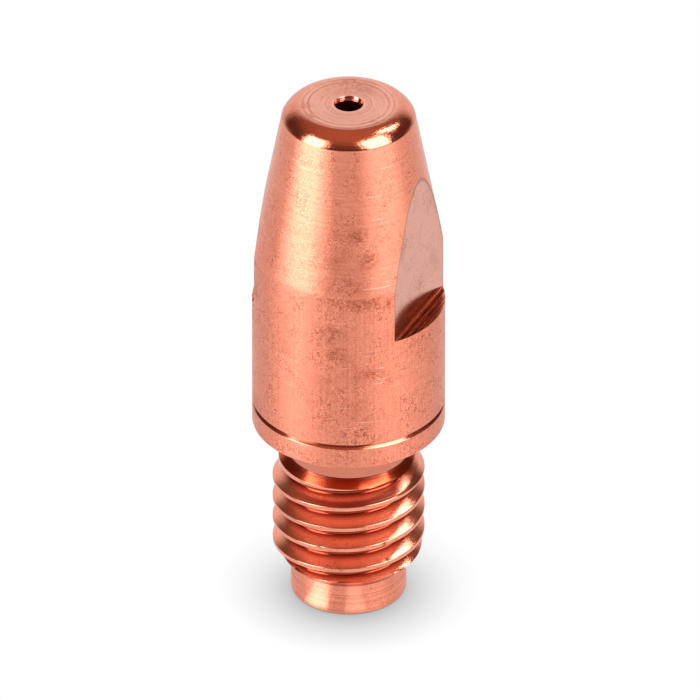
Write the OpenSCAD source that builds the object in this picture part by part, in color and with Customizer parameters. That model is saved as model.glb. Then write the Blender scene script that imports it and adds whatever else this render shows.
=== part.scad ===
// Welding contact tip, turned from one copper bar. From the foot upwards it has a pilot, a right-hand
// thread, a relief neck, a parallel body with a ring mark and two spanner flats, and a tapered nose.
// The wire bore runs through it. Sizes are in millimetres, the axis is Z and the pilot stands on Z = 0.

/* [Overall] */
// Height from the pilot's end face to the nose face
overall_l = 29.4; // [27:0.1:36]
// Height of the seat, the step under the body
seat_h = 10.3; // [9.6:0.05:12]
// Diameter of the parallel body
body_d = 10; // [9:0.05:12]

/* [Pilot] */
// Diameter of the plain pilot below the thread
pilot_d = 6; // [5:0.05:6.2]
// Height of the pilot, up to the thread's lead-in chamfer
pilot_l = 1.75; // [1.2:0.05:2.2]
// Edge break at the pilot's end face
pilot_edge = 0.14; // [0.05:0.01:0.3]

/* [Thread] */
// Major diameter, over the crests
thread_d = 7.9; // [7.7:0.02:8.2]
// Rise of the right-hand helix in one turn
thread_pitch = 1.25; // [1:0.05:1.3]
// Azimuth at which the groove leaves the lead-in chamfer, in degrees from the first spanner flat
thread_start = 305; // [0:5:355]
// Diameter of the reduced land at the thread's upper end
land_d = 7.28; // [7:0.02:7.6]
// Height of that land
land_l = 0.5; // [0.2:0.05:0.8]

/* [Neck] */
// Height of the relief neck between the thread and the seat
neck_l = 1.74; // [1.7:0.02:2.2]
// Fillet between the neck and the seat
neck_fillet = 0.3; // [0.25:0.01:0.4]

/* [Body] */
// Length of the parallel body above the seat
parallel_l = 10.3; // [8:0.05:12]
// Radius that blends the parallel body into the taper
taper_round = 3; // [0.5:0.1:5]
// Edge break at the seat's rim
seat_edge = 0.08; // [0.03:0.01:0.3]
// Height of the ring mark's centre above the seat
ring_h = 1.27; // [0.6:0.01:4]
// Width of the ring mark
ring_w = 0.28; // [0.15:0.01:0.6]
// Depth of the ring mark
ring_depth = 0.15; // [0.05:0.01:0.3]

/* [Spanner flats] */
// Distance across the two flats
flats_w = 8; // [7.6:0.05:8.8]
// Height of the flats' square shoulder above the seat
flats_h = 7.35; // [5:0.05:9]

/* [Nose] */
// Diameter of the crease where the taper meets the nose rounding
nose_d = 6.93; // [6.2:0.01:7]
// Radius of the nose rounding
nose_round = 1.25; // [1.2:0.01:1.5]
// Diameter of the flat nose face inside the rounding
nose_flat_d = 4.64; // [4.6:0.01:5.2]

/* [Wire bore] */
// Diameter of the wire bore
wire_d = 1.34; // [0.9:0.02:1.44]
// Diameter of the countersink at the bore's mouth
mouth_d = 1.52; // [1.5:0.02:2.4]
// Depth of that countersink
mouth_l = 0.23; // [0.1:0.01:0.5]
// Diameter of the funnel that leads the wire in at the foot
inlet_d = 3.6; // [2:0.1:4]
// Full angle of that funnel
inlet_angle = 60; // [45:1:90]

/* [Hidden] */

$fn = 96;
copper = [0.85, 0.53, 0.41];
overlap = 1;

// A 60 degree thread form, sized by the pitch as the metric series is
flank_angle = 30;
thread_depth = 0.576 * thread_pitch;
crest_w = 0.175 * thread_pitch;
root_w = thread_pitch - crest_w - 2 * thread_depth * tan(flank_angle);

// Radii of the turned profile
pilot_r = pilot_d / 2;
thread_r = thread_d / 2;
root_r = thread_r - thread_depth;
neck_relief = 0.03;
neck_r = root_r - neck_relief;
land_r = land_d / 2;
body_r = body_d / 2;
crease_r = nose_d / 2;
nose_flat_r = nose_flat_d / 2;

// Heights of the turned profile, with every chamfer on the shank at 45 degrees
thread_low = pilot_l + thread_r - pilot_r;
neck_low = seat_h - neck_l;
land_top = neck_low - (land_r - neck_r);
land_low = land_top - land_l;
thread_top = land_low - (thread_r - land_r);
ring_z = seat_h + ring_h;
taper_z = seat_h + parallel_l;
round_z = overall_l - nose_round;
crease_z = round_z + sqrt(pow(nose_round, 2) - pow(crease_r - nose_flat_r, 2));
flats_z = seat_h + flats_h;

// The taper's angle, and the length that its blend takes on either side
taper_angle = atan2(body_r - crease_r, crease_z - taper_z);
taper_tangent = taper_round * tan(taper_angle / 2);
taper_round_low = [body_r, taper_z - taper_tangent];
taper_round_top = [body_r - taper_tangent * sin(taper_angle), taper_z + taper_tangent * cos(taper_angle)];

// The thread's groove starts below the lead-in chamfer and runs out above the neck's chamfer
groove_overrun_low = 0.25;
groove_overrun_top = 0.44;
groove_low = pilot_l - groove_overrun_low;
groove_rise = neck_low + groove_overrun_top - groove_low;
groove_turns = groove_rise / thread_pitch;
groove_outer_r = thread_r + 0.13;
groove_outer_w = root_w + 2 * (groove_outer_r - root_r) * tan(flank_angle);
steps_per_turn = 40;
groove_steps = ceil(groove_turns * steps_per_turn);

inlet_l = (inlet_d - wire_d) / 2 / tan(inlet_angle / 2);

// Section of the groove as [radius, height], from the root outwards
groove_section = [
    [root_r, -root_w / 2],
    [root_r, root_w / 2],
    [groove_outer_r, groove_outer_w / 2],
    [groove_outer_r, -groove_outer_w / 2]
];

// One corner of the section, moved along the helix by a share of its length
function groove_point(corner, share) =
    let (angle = thread_start + 360 * groove_turns * share)
    [corner[0] * cos(angle), corner[0] * sin(angle), groove_low + groove_rise * share + corner[1]];

// Solid swept by the section along the right-hand helix
module thread_groove() {
    corners = len(groove_section);
    points = [
        for (step = [0:groove_steps], corner = groove_section)
            groove_point(corner, step / groove_steps)
    ];
    sides = [
        for (step = [0:groove_steps - 1], k = [0:corners - 1])
            let (
                near = step * corners,
                far = near + corners,
                next = (k + 1) % corners
            )
            each [
                [near + next, near + k, far + k],
                [near + next, far + k, far + next]
            ]
    ];
    first_cap = [for (k = [0:corners - 1]) k];
    last_cap = [for (k = [corners - 1:-1:0]) groove_steps * corners + k];
    polyhedron(points, concat(sides, [first_cap, last_cap]));
}

// Quarter round that carries the taper over to the flat nose face
module nose_round_profile() {
    intersection() {
        translate([nose_flat_r, round_z])
            circle(nose_round);
        translate([nose_flat_r, crease_z])
            square([nose_round, overall_l - crease_z]);
    }
}

// Sliver of round that blends the parallel body into the taper
module taper_round_profile() {
    intersection() {
        translate([body_r - taper_round, taper_z - taper_tangent])
            circle(taper_round);
        polygon([taper_round_low, [body_r, taper_z], taper_round_top]);
    }
}

// Fillet in the corner under the seat
module neck_fillet_profile() {
    difference() {
        translate([neck_r, seat_h - neck_fillet])
            square(neck_fillet);
        translate([neck_r + neck_fillet, seat_h - neck_fillet])
            circle(neck_fillet);
    }
}

// Half section of the turned bar, before the thread, the flats and the bore are cut
module turned_profile() {
    polygon([
        [0, 0],
        [pilot_r - pilot_edge, 0],
        [pilot_r, pilot_edge],
        [pilot_r, pilot_l],
        [thread_r, thread_low],
        [thread_r, thread_top],
        [land_r, land_low],
        [land_r, land_top],
        [neck_r, neck_low],
        [neck_r, seat_h],
        [body_r - seat_edge, seat_h],
        [body_r, seat_h + seat_edge],
        [body_r, ring_z - ring_w / 2],
        [body_r - ring_depth, ring_z],
        [body_r, ring_z + ring_w / 2],
        taper_round_low,
        taper_round_top,
        [crease_r, crease_z],
        [nose_flat_r, crease_z],
        [nose_flat_r, overall_l],
        [0, overall_l]
    ]);
    taper_round_profile();
    nose_round_profile();
    neck_fillet_profile();
}

// Straight bore with a countersunk mouth at the nose and a funnel at the foot
module wire_way() {
    translate([0, 0, -overlap])
        cylinder(d = wire_d, h = overall_l + 2 * overlap);
    mouth_slope = (mouth_d - wire_d) / mouth_l;
    translate([0, 0, overall_l - mouth_l])
        cylinder(d1 = wire_d, d2 = wire_d + mouth_slope * 2 * mouth_l, h = 2 * mouth_l);
    translate([0, 0, -inlet_l])
        cylinder(d1 = 2 * inlet_d - wire_d, d2 = wire_d, h = 2 * inlet_l);
}

// Everything outside the two flats, above their square shoulder
module flats_cutter() {
    for (side = [0, 180])
        rotate([0, 0, side])
            translate([flats_w / 2, -body_d, flats_z])
                cube([body_d, 2 * body_d, overall_l - flats_z + overlap]);
}

module contact_tip() {
    color(copper)
        difference() {
            rotate_extrude()
                turned_profile();
            thread_groove();
            flats_cutter();
            wire_way();
        }
}

contact_tip();
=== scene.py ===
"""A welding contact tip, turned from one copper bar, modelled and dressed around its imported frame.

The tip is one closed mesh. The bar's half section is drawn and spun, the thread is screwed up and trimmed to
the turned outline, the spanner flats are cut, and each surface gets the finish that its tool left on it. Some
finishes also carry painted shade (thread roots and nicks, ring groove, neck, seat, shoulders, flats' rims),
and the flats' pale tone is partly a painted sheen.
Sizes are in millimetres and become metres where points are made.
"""

import logging
import math
from collections import Counter
from contextlib import contextmanager
from dataclasses import dataclass
from enum import Enum
from typing import Callable, Iterator, Optional, Sequence

import bpy
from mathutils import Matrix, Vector


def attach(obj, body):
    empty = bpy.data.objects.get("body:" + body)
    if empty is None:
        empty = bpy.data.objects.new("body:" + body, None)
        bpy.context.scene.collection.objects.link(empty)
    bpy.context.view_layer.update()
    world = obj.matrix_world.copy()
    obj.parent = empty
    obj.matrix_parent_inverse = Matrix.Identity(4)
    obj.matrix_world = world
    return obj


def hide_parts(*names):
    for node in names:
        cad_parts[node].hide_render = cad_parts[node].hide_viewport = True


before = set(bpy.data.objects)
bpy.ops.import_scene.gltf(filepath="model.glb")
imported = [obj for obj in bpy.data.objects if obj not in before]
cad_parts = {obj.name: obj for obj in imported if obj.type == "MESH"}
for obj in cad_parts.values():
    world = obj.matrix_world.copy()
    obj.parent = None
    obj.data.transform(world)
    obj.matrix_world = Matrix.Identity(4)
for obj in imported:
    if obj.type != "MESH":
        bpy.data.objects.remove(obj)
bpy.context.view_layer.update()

LOG = logging.getLogger("contact_tip")
MM = 0.001
MICRON = 1e-6
WELD = 1e-7
NEAR = 2e-6

Colour = tuple[float, float, float]
Point = tuple[float, float]
Sockets = dict[str, bpy.types.NodeSocket]
Groups = dict[str, bpy.types.NodeTree]

WHITE: Colour = (1.0, 1.0, 1.0)


class Zone(Enum):
    """The surfaces of the tip, each left by a different tool."""

    BAR = "drawn bar skin"
    TAPER = "turned taper"
    BRIGHT = "bright turned edges"
    THREAD = "cut thread"
    NECK = "relief neck"
    SEAT = "seat under the body"
    RING = "ring groove"
    FACE = "faced nose"
    FLAT = "milled flats"
    SHOULDER = "milled shoulders"
    PILOT = "turned pilot"


class Lay(Enum):
    """The direction that a tool's lines follow, by what changes across them."""

    ROUND = "height"
    RINGS = "radius"
    ALONG = "turn"
    DEPTH = "depth"
    SIDE = "side"


@dataclass(frozen=True)
class Corner:
    """A corner of a half section, with the radius that breaks it."""

    radius: float
    height: float
    rounding: float = 0.0

    def place(self) -> Vector:
        """Give the corner's place in the section."""
        return Vector((self.radius, self.height))


@dataclass(frozen=True)
class Nick:
    """A small dent knocked into a thread crest."""

    azimuth: float
    height: float
    width: float
    depth: float


NICKS: tuple[Nick, ...] = (
    Nick(-76, 7.90, 0.10, 0.06),
    Nick(-76, 5.48, 0.09, 0.07),
    Nick(-87, 4.58, 0.08, 0.06),
    Nick(-37, 4.68, 0.10, 0.07),
    Nick(-35, 3.60, 0.08, 0.05),
    Nick(-87, 3.02, 0.10, 0.07),
    Nick(-145, 5.15, 0.12, 0.06),
    Nick(3, 6.90, 0.10, 0.07),
    Nick(95, 4.90, 0.12, 0.07),
    Nick(160, 6.40, 0.10, 0.06),
)


@dataclass(frozen=True)
class Smudge:
    """A mark on the metal, by its place and size: a brown handling mark, and on the thread painted shade
    round a nick.
    """

    azimuth: float
    radius: float
    height: float
    size: float

    def place(self) -> Vector:
        """Give the mark's middle, in metres."""
        turn = math.radians(self.azimuth)
        return Vector((math.cos(turn) * self.radius, math.sin(turn) * self.radius, self.height)) * MM


@dataclass(frozen=True)
class Score:
    """A thin bright scratch that runs round the tip, between two azimuths at one height."""

    start: float
    end: float
    height: float
    width: float = 0.035


@dataclass(frozen=True)
class TipSizes:
    """The driving dimensions of the tip, as the solid has them."""

    overall_l: float = 29.4
    seat_h: float = 10.3
    body_d: float = 10.0
    pilot_d: float = 6.0
    pilot_l: float = 1.75
    pilot_edge: float = 0.14
    thread_d: float = 7.9
    thread_pitch: float = 1.25
    groove_low: float = 1.5
    thread_start: float = 305.0
    groove_share: float = 0.576
    crest_share: float = 0.175
    land_d: float = 7.28
    land_l: float = 0.5
    neck_l: float = 1.74
    neck_fillet: float = 0.3
    neck_relief: float = 0.03
    parallel_l: float = 10.3
    taper_round: float = 3.0
    seat_edge: float = 0.08
    ring_h: float = 1.27
    ring_w: float = 0.28
    ring_depth: float = 0.15
    flats_w: float = 8.0
    flats_h: float = 7.35
    nose_d: float = 6.93
    nose_round: float = 1.25
    nose_flat_d: float = 4.64
    wire_d: float = 1.34
    mouth_d: float = 1.52
    mouth_l: float = 0.23
    inlet_d: float = 3.6
    inlet_angle: float = 60.0

    @property
    def body_r(self) -> float:
        """Radius of the parallel body."""
        return self.body_d / 2

    @property
    def thread_depth(self) -> float:
        """Depth of the thread's groove, sized by the pitch."""
        return self.groove_share * self.thread_pitch

    @property
    def crest_w(self) -> float:
        """Width of the flat on each crest, sized by the pitch."""
        return self.crest_share * self.thread_pitch

    @property
    def thread_r(self) -> float:
        """Radius over the crests."""
        return self.thread_d / 2

    @property
    def root_r(self) -> float:
        """Radius at the foot of the groove."""
        return self.thread_r - self.thread_depth

    @property
    def neck_r(self) -> float:
        """Radius of the relief neck."""
        return self.root_r - self.neck_relief

    @property
    def neck_z(self) -> float:
        """Height at which the relief neck begins."""
        return self.seat_h - self.neck_l

    @property
    def taper_z(self) -> float:
        """Height at which the parallel body ends."""
        return self.seat_h + self.parallel_l

    @property
    def flats_z(self) -> float:
        """Height of the flats' square shoulder."""
        return self.seat_h + self.flats_h

    @property
    def ring_z(self) -> float:
        """Height of the ring mark."""
        return self.seat_h + self.ring_h

    @property
    def crease_z(self) -> float:
        """Height of the crease between the taper and the nose rounding."""
        reach = (self.nose_d - self.nose_flat_d) / 2
        return self.overall_l - self.nose_round + math.sqrt(self.nose_round**2 - reach**2)

    @property
    def taper_slope(self) -> float:
        """Loss of radius with height along the taper."""
        return (self.body_d - self.nose_d) / 2 / (self.crease_z - self.taper_z)

    @property
    def inlet_l(self) -> float:
        """Depth of the wire's lead-in funnel."""
        return (self.inlet_d - self.wire_d) / 2 / math.tan(math.radians(self.inlet_angle / 2))

    def shank_outline(self) -> list[Point]:
        """Draw the turned outline of the shank before the thread is cut.

        Returns:
            Points of (height, radius), from the foot up to the neck.
        """
        pilot_r = self.pilot_d / 2
        land_r = self.land_d / 2
        land_top = self.neck_z - (land_r - self.neck_r)
        land_low = land_top - self.land_l
        return [
            (0.0, pilot_r),
            (self.pilot_l, pilot_r),
            (self.pilot_l + self.thread_r - pilot_r, self.thread_r),
            (land_low - (self.thread_r - land_r), self.thread_r),
            (land_low, land_r),
            (land_top, land_r),
            (self.neck_z, self.neck_r),
            (self.seat_h, self.neck_r),
        ]


SIZES = TipSizes()


class Bench:
    """The operators that the pieces are made with, each used on a clean selection."""

    PARTS = {"VERT": "vertices", "EDGE": "edges", "FACE": "polygons"}

    @staticmethod
    def clear() -> None:
        """Deselect every object."""
        bpy.ops.object.select_all(action="DESELECT")

    @staticmethod
    def pick(piece: bpy.types.Object) -> None:
        """Select one object and make it active.

        Args:
            piece: The object.
        """
        Bench.clear()
        piece.select_set(True)
        bpy.context.view_layer.objects.active = piece

    @staticmethod
    @contextmanager
    def editing(
        piece: bpy.types.Object, by: str = "VERT", wanted: Optional[Callable[..., bool]] = None
    ) -> Iterator[None]:
        """Hold a piece open in edit mode while a with block runs.

        Args:
            piece: The piece, in object mode.
            by: What its selection is made of: VERT, EDGE or FACE.
            wanted: Test that picks what is selected of that kind. Without it, all of the piece is selected.

        Returns:
            The context of the with block.
        """
        Bench.pick(piece)
        if wanted:
            for kind, parts in Bench.PARTS.items():
                for part in getattr(piece.data, parts):
                    part.select = kind == by and wanted(part)
        bpy.context.tool_settings.mesh_select_mode = [kind == by for kind in Bench.PARTS]
        bpy.ops.object.mode_set(mode="EDIT")
        if not wanted:
            bpy.ops.mesh.select_all(action="SELECT")
        yield
        bpy.ops.object.mode_set(mode="OBJECT")

    @staticmethod
    def draw_path(name: str, points: Sequence[Vector]) -> bpy.types.Object:
        """Draw an open path, one extruded vertex after another.

        Args:
            name: Name of the new piece.
            points: The path's points, in metres.

        Returns:
            A piece that holds only the path's edges.
        """
        Bench.clear()
        bpy.ops.mesh.primitive_plane_add(size=MM)
        piece = bpy.context.object
        piece.name = name
        piece.data.name = name
        with Bench.editing(piece):
            bpy.ops.mesh.merge(type="CENTER")
            bpy.ops.transform.translate(value=points[0])
            for start, end in zip(points, points[1:]):
                bpy.ops.mesh.extrude_vertices_move(TRANSFORM_OT_translate={"value": end - start})
        return piece

    @staticmethod
    def weld(piece: bpy.types.Object) -> None:
        """Merge doubles and turn every face outwards.

        Args:
            piece: The piece.
        """
        with Bench.editing(piece):
            bpy.ops.mesh.remove_doubles(threshold=WELD)
            bpy.ops.mesh.normals_make_consistent(inside=False)

    @staticmethod
    def cut_level(piece: bpy.types.Object, height: float, keep: str = "both") -> None:
        """Cut a piece with a level plane.

        Args:
            piece: The piece to cut.
            height: Height of the plane.
            keep: Which side stays: both, above or below.
        """
        with Bench.editing(piece):
            bpy.ops.mesh.bisect(
                plane_co=(0, 0, height * MM),
                plane_no=(0, 0, 1),
                clear_inner=keep == "above",
                clear_outer=keep == "below",
                threshold=WELD,
            )


class HalfSection:
    """Turns a list of corners into the points of a half section, with rounded corners."""

    # How far a holding point lies from the end of its rounding.
    HOLD = 0.06
    LEAST_STEPS = 4

    def __init__(self, arc_step: float = 9.0) -> None:
        """Start with no points, and with so many degrees between the points of an arc."""
        self.arc_step = math.radians(arc_step)
        self.points: list[Point] = []

    def steps(self, sweep: float) -> int:
        """Give the number of steps in an arc of so many radians."""
        return max(self.LEAST_STEPS, math.ceil(abs(sweep) / self.arc_step))

    def arc(self, centre: Point, radius: float, first: float, last: float) -> None:
        """Add the points of an arc.

        Args:
            centre: The arc's centre as (radius, height).
            radius: The arc's radius.
            first: Angle of its first point in degrees, from the outward direction.
            last: Angle of its last point.
        """
        sweep = math.radians(last - first)
        steps = self.steps(sweep)
        for step in range(steps + 1):
            angle = math.radians(first) + sweep * step / steps
            self.points.append((centre[0] + radius * math.cos(angle), centre[1] + radius * math.sin(angle)))

    def corners(self, corners: Sequence[Corner]) -> None:
        """Add a run of corners, each rounded by its own radius and held by points close to it.

        Args:
            corners: The corners in order. The first and the last stay sharp.
        """
        for before, here, after in zip([None, *corners], corners, [*corners[1:], None]):
            if before is None or after is None or here.rounding == 0:
                self.points.append((here.radius, here.height))
            else:
                self.rounded(before, here, after)

    def rounded(self, before: Corner, here: Corner, after: Corner) -> None:
        """Add one rounded corner.

        Args:
            before: The corner before it.
            here: The corner to round.
            after: The corner after it.
        """
        place = here.place()
        back = before.place() - place
        ahead = after.place() - place
        half = back.angle(ahead) / 2
        tangent = here.rounding / math.tan(half)
        inward = (back.normalized() + ahead.normalized()).normalized()
        middle = place + inward * (here.rounding / math.sin(half))
        start = place + back.normalized() * tangent - middle
        sweep = math.pi - 2 * half
        turn = 1 if back.cross(ahead) < 0 else -1
        steps = self.steps(sweep)
        self.hold(place, back, tangent)
        for step in range(steps + 1):
            angle = turn * sweep * step / steps
            spoke = Vector((
                start.x * math.cos(angle) - start.y * math.sin(angle),
                start.x * math.sin(angle) + start.y * math.cos(angle),
            ))
            self.points.append(tuple(middle + spoke))
        self.hold(place, ahead, tangent)

    def hold(self, place: Vector, way: Vector, tangent: float) -> None:
        """Add the point that holds one end of a rounding, where its straight stretch has room for it."""
        if way.length > tangent + 2 * self.HOLD:
            self.points.append(tuple(place + way.normalized() * (tangent + self.HOLD)))

    def path(self) -> list[Vector]:
        """Give the section's points as places in metres, in the plane of X and Z."""
        return [Vector((radius, 0, height)) * MM for radius, height in self.points]


@dataclass
class TurnedBar:
    """The lathe work: body, taper, nose, wire way, foot and pilot, as one spun shell open at the thread."""

    sizes: TipSizes
    low_edge: float = 1.0
    top_edge: float = 9.2
    segments: int = 240
    fine_break: float = 0.03
    crease_round: float = 0.1
    crease_run: float = 0.2
    crease_turn: float = 6.0
    mouth_round: float = 0.1
    inlet_round: float = 0.2
    corner_round: float = 0.05
    corner_steps: int = 4

    def section(self) -> HalfSection:
        """Draw the half section from the neck over the nose, down the bore and round the foot to the pilot.

        Returns:
            The section.
        """
        s = self.sizes
        section = HalfSection()
        crease_r = s.nose_d / 2
        flat_r = s.nose_flat_d / 2
        round_z = s.overall_l - s.nose_round
        crease_angle = math.degrees(math.asin((s.crease_z - round_z) / s.nose_round))
        crease_rise = self.crease_run * math.tan(math.radians(90 - crease_angle))
        section.corners([
            Corner(s.neck_r, self.top_edge),
            Corner(s.neck_r, s.seat_h, s.neck_fillet),
            Corner(s.body_r, s.seat_h, s.seat_edge),
            Corner(s.body_r, s.ring_z - s.ring_w / 2, self.fine_break),
            Corner(s.body_r - s.ring_depth, s.ring_z, self.fine_break / 2),
            Corner(s.body_r, s.ring_z + s.ring_w / 2, self.fine_break),
            Corner(s.body_r, s.flats_z),
            Corner(s.body_r, s.taper_z, s.taper_round),
            Corner(crease_r, s.crease_z, self.crease_round),
            Corner(crease_r - self.crease_run, s.crease_z + crease_rise),
        ])
        section.points.pop()
        section.arc((flat_r, round_z), s.nose_round, crease_angle + self.crease_turn, 90)
        section.corners([
            Corner(flat_r - HalfSection.HOLD, s.overall_l),
            Corner(s.mouth_d / 2, s.overall_l, self.fine_break),
            Corner(s.wire_d / 2, s.overall_l - s.mouth_l, self.mouth_round),
            Corner(s.wire_d / 2, s.inlet_l, self.inlet_round),
            Corner(s.inlet_d / 2, 0, self.fine_break * 2),
            Corner(s.pilot_d / 2, 0, s.pilot_edge),
            Corner(s.pilot_d / 2, self.low_edge),
        ])
        return section

    def build(self) -> bpy.types.Object:
        """Spin the half section and cut the spanner flats.

        Returns:
            The shell, open where the thread joins it.
        """
        shell = Bench.draw_path("contact_tip_copper", self.section().path())
        with Bench.editing(shell):
            bpy.ops.mesh.spin(
                steps=self.segments, angle=math.tau, use_auto_merge=True, center=(0, 0, 0), axis=(0, 0, 1)
            )
        Bench.weld(shell)
        for side in (1, -1):
            self.cut_flat(shell, side)
        return shell

    def cut_flat(self, shell: bpy.types.Object, side: int) -> None:
        """Mill one spanner flat, with its square shoulder.

        Args:
            shell: The spun shell.
            side: 1 for the flat that faces along +X, or -1 for the opposite one.
        """
        s = self.sizes
        reach = side * s.flats_w / 2 * MM
        level = s.flats_z * MM

        def above(face: bpy.types.MeshPolygon) -> bool:
            """Tell whether a face lies above the shoulder and outside the wire's way."""
            return face.center.z > level and face.center.xy.length > s.wire_d * MM

        def cut_off(face: bpy.types.MeshPolygon) -> bool:
            """Tell whether the cutter takes a face away."""
            return above(face) and side * face.center.x > abs(reach)

        def on_flat(vertex: bpy.types.MeshVertex) -> bool:
            """Tell whether a vertex lies on the flat."""
            return abs(vertex.co.x - reach) < NEAR and vertex.co.z > level - NEAR

        def on_shoulder(vertex: bpy.types.MeshVertex) -> bool:
            """Tell whether a vertex lies on the shoulder."""
            return abs(vertex.co.z - level) < NEAR and side * (vertex.co.x - reach) > -NEAR

        def in_corner(vertex: bpy.types.MeshVertex) -> bool:
            """Tell whether a vertex lies where the flat and the shoulder meet."""
            return on_flat(vertex) and on_shoulder(vertex)

        with Bench.editing(shell, "FACE", above):
            bpy.ops.mesh.bisect(plane_co=(reach, 0, 0), plane_no=(side, 0, 0), threshold=WELD)
        with Bench.editing(shell, "FACE", cut_off):
            bpy.ops.mesh.delete(type="FACE")
        for rim in (in_corner, on_flat, on_shoulder):
            with Bench.editing(shell, "VERT", rim):
                bpy.ops.mesh.edge_face_add()
        with Bench.editing(shell, "VERT", in_corner):
            bpy.ops.mesh.bevel(offset=self.corner_round * MM, segments=self.corner_steps, affect="EDGES")


@dataclass
class ThreadedShank:
    """The thread, screwed up from one pitch of its form and trimmed to the turned outline."""

    sizes: TipSizes
    low_edge: float = 1.05
    top_edge: float = 9.15
    steps: int = 200
    turns: int = 9
    turns_below: float = 1.5
    flank_angle: float = 30.0
    crest_round: float = 0.055
    root_round: float = 0.15
    arc_step: float = 12.0
    flank_cuts: int = 5
    nicks: tuple[Nick, ...] = NICKS
    nick_reach: float = 3.0

    def form(self) -> list[Vector]:
        """Draw one pitch of the thread form, from the middle of a crest to the middle of the next.

        Returns:
            The form's points in metres, in the plane of X and Z.
        """
        s = self.sizes
        half_crest = s.crest_w / 2
        flank_run = s.thread_depth * math.tan(math.radians(self.flank_angle))
        start = s.groove_low - s.thread_pitch * (s.thread_start / 360 + self.turns_below)
        section = HalfSection(self.arc_step)
        section.corners([
            Corner(s.thread_r, start),
            Corner(s.thread_r, start + half_crest, self.crest_round),
            Corner(s.root_r, start + half_crest + flank_run, self.root_round),
            Corner(s.root_r, start + s.thread_pitch / 2),
        ])
        rising = self.cut_flanks(section.points)
        falling = [(radius, 2 * start + s.thread_pitch - height) for radius, height in reversed(rising[:-1])]
        section.points = rising + falling
        return section.path()

    def cut_flanks(self, points: Sequence[Point]) -> list[Point]:
        """Divide the longest stretch of a form evenly.

        Args:
            points: The form's points.

        Returns:
            The points, with more of them on the flank.
        """
        spans = [math.dist(a, b) for a, b in zip(points, points[1:])]
        flank = spans.index(max(spans))
        a, b = points[flank], points[flank + 1]
        cuts = [
            (a[0] + (b[0] - a[0]) * k / self.flank_cuts, a[1] + (b[1] - a[1]) * k / self.flank_cuts)
            for k in range(1, self.flank_cuts)
        ]
        return [*points[:flank + 1], *cuts, *points[flank + 1:]]

    def outline_at(self, height: float) -> float:
        """Give the turned outline's radius at a height.

        Args:
            height: The height.

        Returns:
            The radius.
        """
        outline = self.sizes.shank_outline()
        for (low, low_r), (top, top_r) in zip(outline, outline[1:]):
            if height <= top:
                return low_r + (top_r - low_r) * max(0.0, height - low) / (top - low)
        return outline[-1][1]

    def build(self) -> bpy.types.Object:
        """Screw the form up, trim it to the turned outline and knock the nicks in.

        Returns:
            The threaded stretch, open at both ends.
        """
        thread = Bench.draw_path("thread", self.form())
        Bench.pick(thread)
        bpy.ops.object.modifier_add(type="SCREW")
        screw = thread.modifiers[-1]
        screw.angle = math.tau
        screw.screw_offset = self.sizes.thread_pitch * MM
        screw.iterations = self.turns
        screw.steps = self.steps
        screw.render_steps = self.steps
        bpy.ops.object.modifier_apply(modifier=screw.name)
        Bench.weld(thread)
        Bench.cut_level(thread, self.low_edge, keep="above")
        Bench.cut_level(thread, self.top_edge, keep="below")
        for height, _ in self.sizes.shank_outline()[1:-1]:
            Bench.cut_level(thread, height)
        self.trim(thread)
        return thread

    def trim(self, thread: bpy.types.Object) -> None:
        """Pull in each vertex that stands outside the turned outline, then press the nicks in.

        Args:
            thread: The screwed mesh.
        """
        for vertex in thread.data.vertices:
            place = vertex.co
            radius = place.xy.length / MM
            kept = min(radius, self.outline_at(place.z / MM))
            for nick in self.nicks:
                kept -= self.dent(nick, place, kept)
            place.xy *= kept / radius
        thread.data.update()

    def dent(self, nick: Nick, place: Vector, radius: float) -> float:
        """Work out how deep a nick goes at one place.

        Args:
            nick: The nick.
            place: The place, in metres.
            radius: Its radius.

        Returns:
            The depth.
        """
        rise = place.z / MM - nick.height
        if abs(rise) > self.nick_reach * nick.width:
            return 0.0
        azimuth = math.degrees(math.atan2(place.y, place.x)) - nick.azimuth
        across = math.radians((azimuth + 180) % 360 - 180) * radius
        if abs(across) > self.nick_reach * nick.width:
            return 0.0
        above_root = max(0.0, radius - self.sizes.root_r) / self.sizes.thread_depth
        return nick.depth * above_root * math.exp(-(across**2 + rise**2) / nick.width**2)


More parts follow.
